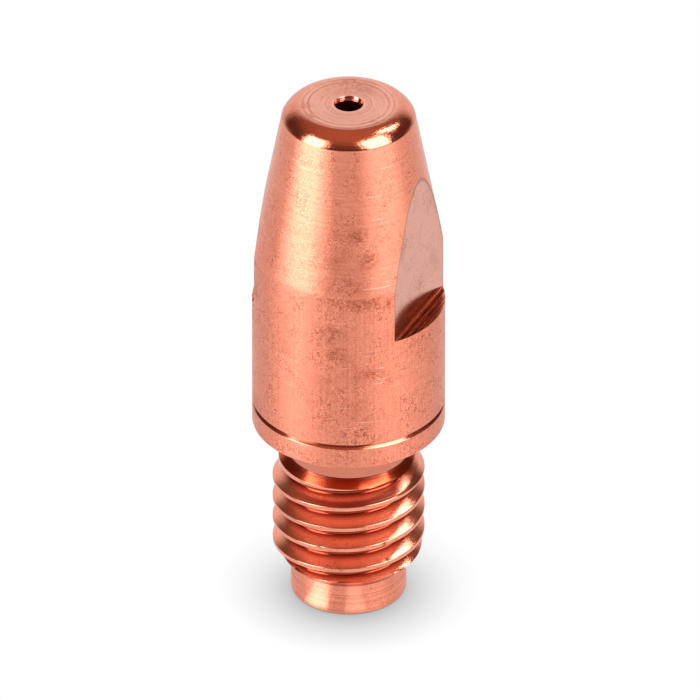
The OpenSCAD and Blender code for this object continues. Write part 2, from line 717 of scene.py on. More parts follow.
class Graph:
    """Adds and links nodes in one node tree."""

    # A Mix node repeats its sockets for each kind of data, so those for colours go by number.
    MIX_SHARE, MIX_FIRST, MIX_SECOND, MIX_RESULT = 0, 6, 7, 2
    GIVES_NUMBER = ("DISTANCE", "DOT_PRODUCT", "LENGTH")
    LINE_DETAIL = 2.0

    def __init__(self, tree: bpy.types.NodeTree) -> None:
        """Keep the tree and empty it."""
        self.tree = tree
        self.tree.nodes.clear()

    def node(self, kind: str, feeds: Optional[dict] = None, **settings: object) -> bpy.types.Node:
        """Add a node.

        Args:
            kind: The node's type name.
            feeds: Sockets or values for its inputs, by the input's name or number.
            settings: Properties to set on it.

        Returns:
            The node.
        """
        made = self.tree.nodes.new(kind)
        for name, value in settings.items():
            setattr(made, name, value)
        for socket, value in (feeds or {}).items():
            self.feed(made.inputs[socket], value)
        return made

    def feed(self, socket: bpy.types.NodeSocket, value: object) -> None:
        """Link a socket to another one, or set its value.

        Args:
            socket: The socket that takes the value.
            value: A socket, a number, a vector, or a colour without alpha.
        """
        if isinstance(value, bpy.types.NodeSocket):
            self.tree.links.new(value, socket)
        elif socket.type == "RGBA":
            socket.default_value = (*value, 1.0)
        else:
            socket.default_value = value

    def group(self, tree: bpy.types.NodeTree, **feeds: object) -> Sockets:
        """Place a shared group with its values and give its outputs."""
        return dict(self.node("ShaderNodeGroup", node_tree=tree, feeds=feeds).outputs.items())

    def math(self, operation: str, *values: object) -> bpy.types.NodeSocket:
        """Add a Math node on sockets or numbers and give its result."""
        return self.node("ShaderNodeMath", dict(enumerate(values)), operation=operation).outputs[0]

    def vector(self, operation: str, *values: object) -> bpy.types.NodeSocket:
        """Add a Vector Math node on sockets or vectors and give its result."""
        made = self.node("ShaderNodeVectorMath", dict(enumerate(values)), operation=operation)
        return made.outputs["Value" if operation in self.GIVES_NUMBER else "Vector"]

    def spread(
        self, value: object, low: float, high: float, to_low: float = 0.0, to_high: float = 1.0
    ) -> bpy.types.NodeSocket:
        """Map the values from low to high smoothly to those from to_low to to_high, clamped at both ends."""
        feeds = dict(enumerate((value, low, high, to_low, to_high)))
        return self.node("ShaderNodeMapRange", feeds, interpolation_type="SMOOTHSTEP").outputs[0]

    def mix(self, share: object, first: object, second: object) -> bpy.types.NodeSocket:
        """Mix two colours.

        Args:
            share: How much of the second colour shows.
            first: The first colour.
            second: The second colour.

        Returns:
            The mixed colour.
        """
        feeds = {self.MIX_SHARE: share, self.MIX_FIRST: first, self.MIX_SECOND: second}
        made = self.node("ShaderNodeMix", feeds, data_type="RGBA", clamp_factor=True)
        return made.outputs[self.MIX_RESULT]

    def place(self) -> bpy.types.NodeSocket:
        """Give the piece's own coordinates."""
        return self.node("ShaderNodeTexCoord").outputs["Object"]

    def axes(self, place: bpy.types.NodeSocket) -> Sockets:
        """Give the X, Y and Z of a place."""
        return dict(self.node("ShaderNodeSeparateXYZ", {0: place}).outputs.items())

    def radius(self, place: bpy.types.NodeSocket) -> bpy.types.NodeSocket:
        """Give a place's distance from the tip's axis."""
        return self.vector("LENGTH", self.vector("MULTIPLY", place, (1.0, 1.0, 0.0)))

    def line_noise(self, across: bpy.types.NodeSocket, scale: float) -> bpy.types.NodeSocket:
        """Add noise along one line and give its value."""
        feeds = {"W": across, "Scale": scale, "Detail": self.LINE_DETAIL}
        return self.node("ShaderNodeTexNoise", feeds, noise_dimensions="1D").outputs[0]


@dataclass(frozen=True)
class Pattern:
    """A noise, and the two of its values between which its mask rises from nothing to full."""

    scale: float
    detail: float = 3.0
    rough: float = 0.5
    distortion: float = 0.0
    low: float = 0.0
    high: float = 1.0

    def noise(self, graph: Graph, place: bpy.types.NodeSocket) -> bpy.types.NodeSocket:
        """Add the noise.

        Args:
            graph: The graph that it goes into.
            place: The place that it reads.

        Returns:
            Its value.
        """
        feeds = {
            "Vector": place, "Scale": self.scale, "Detail": self.detail, "Roughness": self.rough,
            "Distortion": self.distortion,
        }
        return graph.node("ShaderNodeTexNoise", feeds).outputs[0]

    def mask(self, graph: Graph, place: bpy.types.NodeSocket, least: float = 0.0) -> bpy.types.NodeSocket:
        """Add the noise at a place and give its mask, which rises from the least value to 1."""
        return graph.spread(self.noise(graph, place), self.low, self.high, least)


CLOUD = Pattern(330, 4.0, 0.55, 0.4, 0.50, 0.72)
PATCH = Pattern(800, 5.0, 0.6, 0.5, 0.40, 0.68)
MOTTLE = Pattern(4200, 4.0, 0.62, low=0.44, high=0.74)
SPECK = Pattern(8500, 2.0, low=0.62, high=0.72)
GRAIN = Pattern(14000, 3.0, 0.6, low=0.32, high=0.68)
PITTING = Pattern(5200, 3.0, 0.6)
TOOL_BREAKS = Pattern(700, low=0.35, high=0.65)
SCRATCH_STREAKS = Pattern(1.0, 1.0, 0.4, low=0.66, high=0.73)
SCRATCH_CLUSTERS = Pattern(380, 2.0, low=0.50, high=0.60)
SMUDGE_RIM = Pattern(1500, 3.0, 0.6)
SMUDGE_FLECKS = Pattern(5000, 4.0, 0.65, low=0.40, high=0.64)
SCORE_WAVER = Pattern(1800, 2.0)
SCORE_BREAKS = Pattern(5200, 2.0, low=0.36, high=0.52)

# What is left of each mark between the stained patches.
BARE_GRAIN = 0.35
BARE_MOTTLE = 0.3
BARE_SPECKS = 0.08
SPECKED_PATCH = 0.8

FINE_LINES = 26000
COARSE_LINES = 6500
SCRATCH_STRETCH = (500.0, 500.0, 9000.0)
SMUDGE_SPREAD = 0.9
SMUDGE_FADE = (1.0, 0.1)
SMUDGE_LEAST = 0.15
SCORE_REACH = 0.05
SCORE_FADE = (1.0, 0.3)
SCORE_STARTS = (0.0, 0.03)
SCORE_ENDS = (0.0, 0.015)
SCORE_LEAST = 0.25


def new_group(name: str, inputs: dict[str, float], outputs: Sequence[str]) -> tuple[Graph, Sockets, Sockets]:
    """Start a shader node group of plain values.

    Args:
        name: The group's name.
        inputs: Each input's name and default.
        outputs: The outputs' names.

    Returns:
        The group's graph, the sockets that it takes and those that it gives, by name.
    """
    tree = bpy.data.node_groups.new(name, "ShaderNodeTree")
    for title, default in inputs.items():
        socket = tree.interface.new_socket(name=title, in_out="INPUT", socket_type="NodeSocketFloat")
        socket.default_value = default
    for title in outputs:
        tree.interface.new_socket(name=title, in_out="OUTPUT", socket_type="NodeSocketFloat")
    graph = Graph(tree)
    takes = graph.node("NodeGroupInput").outputs
    gives = graph.node("NodeGroupOutput").inputs
    return graph, {title: takes[title] for title in inputs}, {title: gives[title] for title in outputs}


def stain_group() -> bpy.types.NodeTree:
    """Build the marks of handled copper: blotches, mottle, clustered specks, patchy grain and relief.

    Returns:
        The group.
    """
    graph, takes, gives = new_group(
        "handling_stain", {"Cloud": 1.0, "Mottle": 1.0, "Speck": 1.0}, ["Stain", "Specks", "Grain", "Relief"]
    )
    place = graph.place()
    patch = PATCH.mask(graph, place)
    patchy = graph.spread(patch, 0.0, 1.0, BARE_GRAIN)
    mottled = graph.math("MULTIPLY", MOTTLE.mask(graph, place), graph.spread(patch, 0.0, 1.0, BARE_MOTTLE))
    crowded = graph.spread(patch, 0.0, SPECKED_PATCH, BARE_SPECKS)
    clustered = graph.math("MULTIPLY", SPECK.mask(graph, place), crowded)
    clouded = graph.math("MULTIPLY", CLOUD.mask(graph, place), takes["Cloud"])
    swing = graph.math("SUBTRACT", GRAIN.mask(graph, place), 0.5)
    graph.feed(gives["Stain"], graph.math("MULTIPLY_ADD", mottled, takes["Mottle"], clouded))
    graph.feed(gives["Specks"], graph.math("MULTIPLY", clustered, takes["Speck"]))
    graph.feed(gives["Grain"], graph.math("ADD", graph.math("MULTIPLY", swing, patchy), 0.5))
    graph.feed(gives["Relief"], graph.math("MULTIPLY", PITTING.noise(graph, place), patchy))
    return graph.tree


def tool_group() -> bpy.types.NodeTree:
    """Build the fine lines that a cutting tool leaves across one direction.

    Returns:
        The group.
    """
    graph, takes, gives = new_group("tool_lines", {"Across": 0.0, "Break": 0.5}, ["Fine", "Coarse"])
    whole = graph.math("SUBTRACT", 1.0, takes["Break"])
    kept = graph.math("MULTIPLY_ADD", TOOL_BREAKS.mask(graph, graph.place()), takes["Break"], whole)
    for title, scale in (("Fine", FINE_LINES), ("Coarse", COARSE_LINES)):
        centred = graph.math("SUBTRACT", graph.line_noise(takes["Across"], scale), 0.5)
        graph.feed(gives[title], graph.math("MULTIPLY", centred, kept))
    return graph.tree


def scratch_group() -> bpy.types.NodeTree:
    """Build short thin scratches that lie round the tip, in loose clusters.

    Returns:
        The group.
    """
    graph, takes, gives = new_group("round_scratches", {"Amount": 1.0}, ["Scratch"])
    place = graph.place()
    thin = SCRATCH_STREAKS.mask(graph, graph.vector("MULTIPLY", place, SCRATCH_STRETCH))
    rare = graph.math("MULTIPLY", thin, SCRATCH_CLUSTERS.mask(graph, place))
    graph.feed(gives["Scratch"], graph.math("MULTIPLY", rare, takes["Amount"]))
    return graph.tree


def smudge_group() -> bpy.types.NodeTree:
    """Build one ragged smudge round a given place, also used as painted shade round the thread's nicks.

    Returns:
        The group.
    """
    graph, takes, gives = new_group("smudge", {"X": 0.0, "Y": 0.0, "Z": 0.0, "Size": 1.0}, ["Smudge"])
    place = graph.place()
    middle = graph.node("ShaderNodeCombineXYZ", {axis: takes[axis] for axis in "XYZ"}).outputs[0]
    share = graph.math("DIVIDE", graph.vector("DISTANCE", place, middle), takes["Size"])
    within = graph.math("SUBTRACT", share, SMUDGE_SPREAD / 2)
    ragged = graph.math("MULTIPLY_ADD", SMUDGE_RIM.noise(graph, place), SMUDGE_SPREAD, within)
    flecks = SMUDGE_FLECKS.mask(graph, place, SMUDGE_LEAST)
    graph.feed(gives["Smudge"], graph.math("MULTIPLY", graph.spread(ragged, *SMUDGE_FADE), flecks))
    return graph.tree


def score_group() -> bpy.types.NodeTree:
    """Build one broken bright line round the tip, between two turns at one height.

    Returns:
        The group.
    """
    graph, takes, gives = new_group(
        "score", {"Start": 0.0, "End": 0.1, "Height": 0.0, "Width": 0.03 * MM}, ["Score"]
    )
    place = graph.place()
    axes = graph.axes(place)
    turn = graph.math("ARCTAN2", axes["Y"], axes["X"])
    waver = graph.math("MULTIPLY_ADD", SCORE_WAVER.noise(graph, place), SCORE_REACH * MM, takes["Height"])
    off = graph.math("ABSOLUTE", graph.math("SUBTRACT", axes["Z"], waver))
    line = graph.spread(graph.math("DIVIDE", off, takes["Width"]), *SCORE_FADE)
    begun = graph.spread(graph.math("SUBTRACT", turn, takes["Start"]), *SCORE_STARTS)
    going = graph.spread(graph.math("SUBTRACT", takes["End"], turn), *SCORE_ENDS)
    broken = SCORE_BREAKS.mask(graph, place, SCORE_LEAST)
    kept = graph.math("MULTIPLY", graph.math("MULTIPLY", begun, going), broken)
    graph.feed(gives["Score"], graph.math("MULTIPLY", line, kept))
    return graph.tree


@dataclass(frozen=True)
class EdgeLine:
    """A dark line of painted shade at the rim of a cut surface, where it meets the bar or its taper."""

    width: float
    radius: float
    taper_from: float
    taper: float
    tone: Colour = (0.42, 0.13, 0.08)
    strength: float = 0.8

    def mask(self, graph: Graph) -> bpy.types.NodeSocket:
        """Give the line's mask.

        Args:
            graph: The material's graph.

        Returns:
            The line's strength on the line, and 0 away from it.
        """
        place = graph.place()
        rise = graph.math("SUBTRACT", graph.axes(place)["Z"], self.taper_from * MM)
        level = graph.math("MULTIPLY_ADD", graph.math("MAXIMUM", rise, 0.0), self.taper, graph.radius(place))
        inner, outer = (self.radius - self.width) * MM, (self.radius - self.width / 3) * MM
        return graph.spread(level, inner, outer, 0.0, self.strength)


@dataclass(frozen=True)
class CopperFinish:
    """One finish of bare copper.

    The colours are the metal's own tone, its tone where it is stained, in dark specks, where a scratch has
    bared it, blended in from one radius to another (painted shade in the thread's roots, the ring groove, the
    neck and under the seat, and a paler tone on the bright turned edges) and in smudges (handling marks, and
    on the thread painted shade round the nicks). Depths are in micrometres.
    """

    zone: Zone
    lay: Lay
    roughness: float
    anisotropy: float = 0.0
    rough_swing: float = 0.08
    fresh: Colour = (0.83, 0.262, 0.163)
    stained: Colour = (0.50, 0.135, 0.08)
    dark: Colour = (0.22, 0.05, 0.028)
    bared: Colour = (0.90, 0.42, 0.30)
    cloud: float = 0.2
    mottle: float = 0.2
    speck: float = 0.3
    line_depth: float = 0.5
    grain_depth: float = 0.3
    relief_depth: float = 0.0
    scratch_depth: float = 1.5
    line_tone: float = 0.0
    grain_tone: float = 0.0
    worn: float = 0.0
    scratch: float = 0.0
    smudges: tuple[Smudge, ...] = ()
    scores: tuple[Score, ...] = ()
    # Tone blended in between two radii: painted shade on the thread, neck, seat and ring groove, and a paler
    # tone on the bright turned edges.
    deep: Colour = (0.44, 0.068, 0.03)
    deep_from: float = 0.0
    deep_to: float = 0.0
    # Tone of the smudges; on the thread it is painted shade round the nicks.
    smudged: Colour = (0.45, 0.11, 0.06)
    # A line of painted shade along the rim of a cut surface.
    edge: Optional[EdgeLine] = None

    # Turns the sheen so that it spreads along the axis and not round it.
    SHEEN_TURN = 0.25

    def across(self, graph: Graph) -> bpy.types.NodeSocket:
        """Give the coordinate that changes across the tool's lines.

        Args:
            graph: The material's graph.

        Returns:
            The coordinate in metres.
        """
        place = graph.place()
        if self.lay is Lay.RINGS:
            return graph.radius(place)
        axes = graph.axes(place)
        if self.lay is Lay.ALONG:
            return graph.math("MULTIPLY", graph.math("ARCTAN2", axes["Y"], axes["X"]), SIZES.body_r * MM)
        return axes[{Lay.ROUND: "Z", Lay.DEPTH: "X", Lay.SIDE: "Y"}[self.lay]]

    def tone(
        self, graph: Graph, stain: Sockets, coarse: bpy.types.NodeSocket, scratch: bpy.types.NodeSocket,
        groups: Groups,
    ) -> bpy.types.NodeSocket:
        """Mix the finish's colour.

        Args:
            graph: The material's graph.
            stain: What the stain group gives.
            coarse: The coarse tool lines.
            scratch: The scratches' mask.
            groups: The shared node groups by name.

        Returns:
            The colour.
        """
        share = graph.math("MULTIPLY_ADD", coarse, self.line_tone, stain["Stain"])
        share = graph.math("MULTIPLY_ADD", stain["Grain"], self.grain_tone, share)
        share = graph.math("ADD", share, self.worn - self.grain_tone / 2)
        toned = graph.mix(share, self.fresh, self.stained)
        # Tone that blends in between two radii: painted shade in the thread's roots, the ring groove, the
        # neck's chamfer and under the seat, and a paler tone on the bright turned edges.
        if self.deep_to != self.deep_from:
            outside = graph.spread(graph.radius(graph.place()), self.deep_from * MM, self.deep_to * MM)
            toned = graph.mix(outside, self.deep, toned)
        # Smudges: brown handling marks, and on the thread painted shade round the nicks.
        for smudge in self.smudges:
            middle = dict(zip("XYZ", smudge.place()))
            mark = graph.group(groups["smudge"], **middle, Size=smudge.size * MM)
            toned = graph.mix(mark["Smudge"], toned, self.smudged)
        # Painted shade: a dark line along the rim of a cut surface.
        if self.edge:
            toned = graph.mix(self.edge.mask(graph), toned, self.edge.tone)
        specked = graph.mix(stain["Specks"], toned, self.dark)
        return graph.mix(scratch, specked, self.bared)

    def scratched(self, graph: Graph, groups: Groups) -> bpy.types.NodeSocket:
        """Lay the finish's scratches and scores over each other.

        Args:
            graph: The material's graph.
            groups: The shared node groups by name.

        Returns:
            Their mask.
        """
        scratch = graph.group(groups["scratch"], Amount=self.scratch)["Scratch"]
        for score in self.scores:
            mark = graph.group(
                groups["score"], Start=math.radians(score.start), End=math.radians(score.end),
                Height=score.height * MM, Width=score.width * MM,
            )
            scratch = graph.math("MAXIMUM", scratch, mark["Score"])
        return scratch

    def material(self, groups: Groups) -> bpy.types.Material:
        """Build the finish's material.

        Args:
            groups: The shared node groups by name.

        Returns:
            The material.
        """
        made = bpy.data.materials.new("copper_" + self.zone.name.lower())
        made.use_nodes = True
        graph = Graph(made.node_tree)
        stain = graph.group(groups["stain"], Cloud=self.cloud, Mottle=self.mottle, Speck=self.speck)
        lines = graph.group(groups["tool"], Across=self.across(graph))
        scratch = self.scratched(graph, groups)
        swing = graph.math("ADD", stain["Stain"], lines["Coarse"])
        height = graph.math("MULTIPLY", graph.math("ADD", lines["Fine"], lines["Coarse"]), self.line_depth)
        for layer, depth in (
            (stain["Grain"], self.grain_depth),
            (stain["Relief"], self.relief_depth),
            (stain["Specks"], -self.grain_depth),
            (scratch, -self.scratch_depth),
        ):
            height = graph.math("MULTIPLY_ADD", layer, depth, height)
        bump = graph.node("ShaderNodeBump", {"Strength": 1.0, "Distance": MICRON, "Height": height})
        shader = graph.node("ShaderNodeBsdfPrincipled", {
            "Base Color": self.tone(graph, stain, lines["Coarse"], scratch, groups),
            "Roughness": graph.math("MULTIPLY_ADD", swing, self.rough_swing, self.roughness),
            "Normal": bump.outputs["Normal"],
            "Metallic": 1.0,
            "Anisotropic": self.anisotropy,
            "Anisotropic Rotation": self.SHEEN_TURN,
        })
        graph.node("ShaderNodeOutputMaterial", {"Surface": shader.outputs["BSDF"]})
        return made


BRIGHT_COPPER: Colour = (1.0, 0.35, 0.225)
WORN_COPPER: Colour = (0.48, 0.105, 0.055)
BROWNED: Colour = (0.68, 0.23, 0.14)
GREYED: Colour = (0.50, 0.20, 0.14)
# Painted shade round the thread's nicks: the radius it sits at and how far it spreads.
NICK_DIRT_R = 3.86
NICK_DIRT_SHARE = 2.5
# Painted shade along each flat's rim.
FLAT_EDGE = EdgeLine(0.065, SIZES.body_r, SIZES.taper_z, SIZES.taper_slope)

FINISHES: tuple[CopperFinish, ...] = (
    CopperFinish(
        Zone.BAR, Lay.ALONG, 0.35, 0.8, fresh=BRIGHT_COPPER, stained=WORN_COPPER, bared=(1.0, 0.56, 0.42),
        cloud=0.3, mottle=0.55, speck=0.8, line_depth=1.0, grain_depth=3.0, relief_depth=12.0,
        line_tone=0.45, grain_tone=1.15, worn=0.24, scratch=0.5,
        smudges=(
            Smudge(-74.3, 5, 18.4, 1.0), Smudge(-71, 5, 17.3, 0.8), Smudge(-62, 5, 20.3, 0.6),
            Smudge(-57, 5, 20.2, 0.6), Smudge(-49, 5, 20.3, 0.6), Smudge(-41, 5, 20.1, 0.6),
            Smudge(100, 5, 15.0, 1.0), Smudge(170, 5, 13.4, 0.9), Smudge(-140, 5, 18.8, 0.9),
        ),
        scores=(
            Score(-49.2, -43.4, 16.25), Score(-49.7, -42.1, 15.57), Score(-50.3, -44, 15.33),
            Score(60, 72, 17.0), Score(61, 70, 16.7), Score(140, 150, 14.6), Score(-165, -150, 16.1),
        ),
    ),
    CopperFinish(
        Zone.TAPER, Lay.ROUND, 0.23, 0.8, fresh=BRIGHT_COPPER, stained=WORN_COPPER, bared=(1.0, 0.48, 0.35),
        cloud=0.22, mottle=0.35, speck=0.8, line_depth=0.7, grain_depth=1.2, relief_depth=3.0,
        line_tone=0.2, grain_tone=0.65, worn=0.24, scratch=0.35,
        smudges=(Smudge(-52, 4.6, 22.6, 0.8), Smudge(-60, 4.3, 24.0, 0.7), Smudge(40, 4.5, 23.0, 0.9)),
        scores=(
            Score(-57.1, -37.9, 21.08, 0.05), Score(-43.4, -37.6, 21.35), Score(-53.4, -47.6, 21.64),
            Score(-45.5, -41.6, 21.82), Score(-39.5, -27.1, 27.45), Score(-52, -38.9, 26.05),
            Score(-51.9, -41.3, 24.8), Score(75, 96, 21.2, 0.05), Score(120, 131, 24.1),
            Score(-150, -138, 22.9),
        ),
    ),
    CopperFinish(
        Zone.BRIGHT, Lay.ROUND, 0.14, 0.3, cloud=0.1, mottle=0.3, speck=0.5, line_depth=5.0, grain_depth=1.5,
        relief_depth=7.0, line_tone=0.5, grain_tone=0.2, deep=(0.80, 0.34, 0.245), deep_from=2.35,
        deep_to=2.9,
    ),
    # Painted shade: the thread darkens towards its roots, and the near-black smudges round the nicks stand in
    # for the shade in the dents.
    CopperFinish(
        Zone.THREAD, Lay.RINGS, 0.2, 0.5, fresh=(0.90, 0.33, 0.215), stained=(0.34, 0.07, 0.035), mottle=0.3,
        speck=0.6, line_depth=4.0, grain_depth=1.0, relief_depth=3.0, line_tone=0.25, grain_tone=0.3,
        deep=(0.38, 0.05, 0.02), deep_from=3.2, deep_to=3.6, smudged=(0.03, 0.006, 0.004),
        smudges=tuple(
            Smudge(nick.azimuth, NICK_DIRT_R, nick.height, NICK_DIRT_SHARE * nick.width) for nick in NICKS
        ),
    ),
    # Painted shade under the body: the neck's dull tone, and the dark red on its chamfer, which stands in for
    # the shaded seat that the chamfer mirrors.
    CopperFinish(
        Zone.NECK, Lay.ROUND, 0.18, 0.3, fresh=(0.67, 0.225, 0.15), mottle=0.3, line_depth=2.0, line_tone=0.8,
        grain_tone=0.6, deep=(0.62, 0.10, 0.04), deep_from=3.34, deep_to=3.24,
    ),
    # Painted shade under the body: the seat's dull, dark tones and the near-black tone towards the neck stand
    # in for the shade there.
    CopperFinish(
        Zone.SEAT, Lay.RINGS, 0.3, fresh=(0.66, 0.18, 0.105), stained=(0.40, 0.09, 0.05), mottle=0.3,
        line_depth=3.0, line_tone=1.5, deep=(0.18, 0.014, 0.007), deep_from=4.3, deep_to=4.95,
    ),
    # Painted shade in the ring groove: it is darker towards its bottom.
    CopperFinish(
        Zone.RING, Lay.ROUND, 0.15, 0.3, mottle=0.3, line_depth=2.0, deep=(0.5, 0.14, 0.085), deep_from=4.85,
        deep_to=4.98,
    ),
    CopperFinish(
        Zone.FACE, Lay.RINGS, 0.31, 0.3, fresh=(0.94, 0.46, 0.35), stained=BROWNED, cloud=0.35, mottle=0.7,
        speck=0.6, line_depth=5.0, grain_depth=3.0, relief_depth=4.0, line_tone=3.0, grain_tone=0.5,
        worn=0.1, smudged=BROWNED,
        smudges=(Smudge(115, 2.2, 29.4, 2.2), Smudge(-125, 2.25, 29.4, 0.6), Smudge(-150, 2.2, 29.4, 0.5)),
    ),
    # The flat's pale, grey-pink tone is partly a painted sheen, standing in for the white surroundings that
    # it mirrors; the dark line at its rim is painted shade.
    CopperFinish(
        Zone.FLAT, Lay.SIDE, 0.14, fresh=(0.88, 0.395, 0.295), stained=GREYED, cloud=0.8, mottle=0.7,
        speck=0.5, line_depth=0.5, grain_depth=1.2, relief_depth=1.5, line_tone=0.15, grain_tone=1.2,
        worn=0.08, smudged=GREYED, smudges=(Smudge(0, 4, 19.5, 0.6), Smudge(180, 4, 19.5, 0.6)),
        edge=FLAT_EDGE,
    ),
    # The shoulder's milling lines are real; the very dark, saturated tone that they mix in is painted shade,
    # standing in for copper mirroring copper.
    CopperFinish(
        Zone.SHOULDER, Lay.DEPTH, 0.2, fresh=(1.0, 0.34, 0.18), stained=(0.22, 0.035, 0.014), mottle=0.25,
        line_depth=4.0, line_tone=6.5, grain_tone=0.2, worn=0.3,
    ),
    CopperFinish(
        Zone.PILOT, Lay.ROUND, 0.36, 0.82, fresh=BRIGHT_COPPER, stained=WORN_COPPER, cloud=0.2, mottle=0.3,
        speck=0.4, line_depth=2.0, grain_depth=1.0, relief_depth=2.0, line_tone=1.5, grain_tone=0.6,
        worn=0.15,
    ),
)


@dataclass
class ContactTip:
    """The whole tip: the turned bar and the thread joined into one closed piece, with each zone's finish."""

    sizes: TipSizes = SIZES
    smooth_angle: float = 32.0
    square: float = 0.9999
    close: float = 0.01
    crease_margin: float = 0.05
    land_margin: float = 0.44
    underside: float = -0.5

    def build(self) -> bpy.types.Object:
        """Make the piece and dress it.

        Returns:
            The finished piece.
        """
        bar = TurnedBar(self.sizes)
        shank = ThreadedShank(self.sizes)
        shell = bar.build()
        thread = shank.build()
        Bench.pick(shell)
        thread.select_set(True)
        bpy.ops.object.join()
        self.bridge(shell, bar.low_edge, shank.low_edge)
        self.bridge(shell, shank.top_edge, bar.top_edge)
        Bench.weld(shell)
        self.smooth(shell)
        self.dress(shell)
        return shell

    def bridge(self, piece: bpy.types.Object, low: float, high: float) -> None:
        """Join two open rims with a ring of faces.

        Args:
            piece: The piece that holds both rims.
            low: Height of the lower rim.
            high: Height of the upper rim.
        """
        mesh = piece.data
        sides = Counter(key for face in mesh.polygons for key in face.edge_keys)

        def on_rim(edge: bpy.types.MeshEdge) -> bool:
            """Tell whether an edge is open and lies on one of the two rims."""
            heights = [mesh.vertices[index].co.z for index in edge.vertices]
            return sides[edge.key] == 1 and low * MM - NEAR < min(heights) and max(heights) < high * MM + NEAR

        with Bench.editing(piece, "EDGE", on_rim):
            bpy.ops.mesh.bridge_edge_loops()

    def smooth(self, piece: bpy.types.Object) -> None:
        """Shade the piece smooth, with the flats' edges kept sharp.

        Args:
            piece: The closed piece.
        """
        with Bench.editing(piece, "FACE", lambda face: self.zone_of(face) in (Zone.FLAT, Zone.SHOULDER)):
            bpy.ops.mesh.region_to_loop()
            bpy.ops.mesh.mark_sharp()
        Bench.pick(piece)
        bpy.ops.object.shade_smooth_by_angle(angle=math.radians(self.smooth_angle), keep_sharp_edges=True)

    def zone_of(self, face: bpy.types.MeshPolygon) -> Zone:
        """Tell which tool made a face.

        Args:
            face: A face of the finished mesh.

        Returns:
            The face's zone.
        """
        s = self.sizes
        height = face.center.z / MM
        radius = face.center.xy.length / MM
        off_flat = abs(abs(face.center.x) / MM - s.flats_w / 2)
        if abs(face.normal.x) > self.square and off_flat < self.close:
            return Zone.FLAT
        if face.normal.z > self.square and abs(height - s.flats_z) < self.close:
            return Zone.SHOULDER
        if radius < s.mouth_d / 2 or height > s.crease_z - self.crease_margin:
            on_face = height > s.overall_l - self.close and radius > s.mouth_d / 2
            return Zone.FACE if on_face else Zone.BRIGHT
        if height < s.pilot_l:
            return Zone.PILOT
        if height < s.seat_h + s.seat_edge / 2:
            if face.normal.z < self.underside and height > s.seat_h - s.neck_fillet:
                return Zone.SEAT
            on_neck = height > s.neck_z - self.land_margin and radius < s.land_d / 2 - self.close
            return Zone.NECK if on_neck else Zone.THREAD
        if abs(height - s.ring_z) < s.ring_w / 2:
            return Zone.RING
        return Zone.BAR if height < s.taper_z else Zone.TAPER

    def dress(self, piece: bpy.types.Object) -> None:
        """Give each zone its finish.

        Args:
            piece: The smooth piece.
        """
        groups = {
            "stain": stain_group(),
            "tool": tool_group(),
            "scratch": scratch_group(),
            "smudge": smudge_group(),
            "score": score_group(),
        }
        slots = {finish.zone: slot for slot, finish in enumerate(FINISHES)}
        for finish in FINISHES:
            piece.data.materials.append(finish.material(groups))
        for face in piece.data.polygons:
            face.material_index = slots[self.zone_of(face)]
        LOG.info("dressed %s with %d finishes", piece.name, len(FINISHES))


def add_lamp(name: str, sides: Point, radiance: float, place: Vector, turn: Sequence[float]) -> None:
    """Add a rectangular lamp that only mirroring surfaces show.

    Args:
        name: The lamp's name.
        sides: Its width and height, in metres.
        radiance: Its brightness, where 1 is white.
        place: Its middle, in metres.
        turn: Its rotation.
    """
    lamp = bpy.data.lights.new(name, "AREA")
    lamp.shape = "RECTANGLE"
    lamp.size, lamp.size_y = sides
    lamp.energy = radiance * math.pi * lamp.size * lamp.size_y
    stand = bpy.data.objects.new(name, lamp)
    bpy.context.scene.collection.objects.link(stand)
    stand.location = place
    stand.rotation_euler = turn
    stand.visible_camera = False
    stand.visible_diffuse = False


def subtend(distance: float, angle: float) -> float:
    """Give the width that fills so many degrees at a distance."""
    return 2 * distance * math.tan(math.radians(angle / 2))


@dataclass(frozen=True)
class SoftBox:
    """A rectangular studio light, placed and sized by the angles at which the tip sees it."""

    name: str
    azimuth: float
    elevation: float
    width: float
    height: float
    radiance: float
    distance: float = 600.0

    def build(self, studio: "Studio") -> None:
        """Add the light.

        Args:
            studio: The studio that it stands in.
        """
        away = self.distance * MM
        way = studio.direction(self.azimuth, self.elevation)
        sides = (subtend(away, self.width), subtend(away, self.height))
        turn = way.to_track_quat("Z", "Y").to_euler()
        add_lamp(self.name, sides, self.radiance, studio.target() + way * away, turn)


@dataclass(frozen=True)
class FloorCard:
    """A lit card that lies just over the floor beside the tip and shows only where the metal mirrors it."""

    name: str
    azimuth: float
    near: float
    far: float
    width: float
    radiance: float
    lift: float = 1.0

    def build(self, studio: "Studio") -> None:
        """Add the card as a lamp that shines upwards.

        Args:
            studio: The studio that it lies in.
        """
        middle = (self.near + self.far) / 2 * MM
        place = studio.direction(self.azimuth, 0) * middle + Vector((0, 0, self.lift * MM))
        sides = (subtend(middle, self.width), (self.far - self.near) * MM)
        turn = (math.pi, 0, math.radians(studio.camera_azimuth + self.azimuth))
        add_lamp(self.name, sides, self.radiance, place, turn)


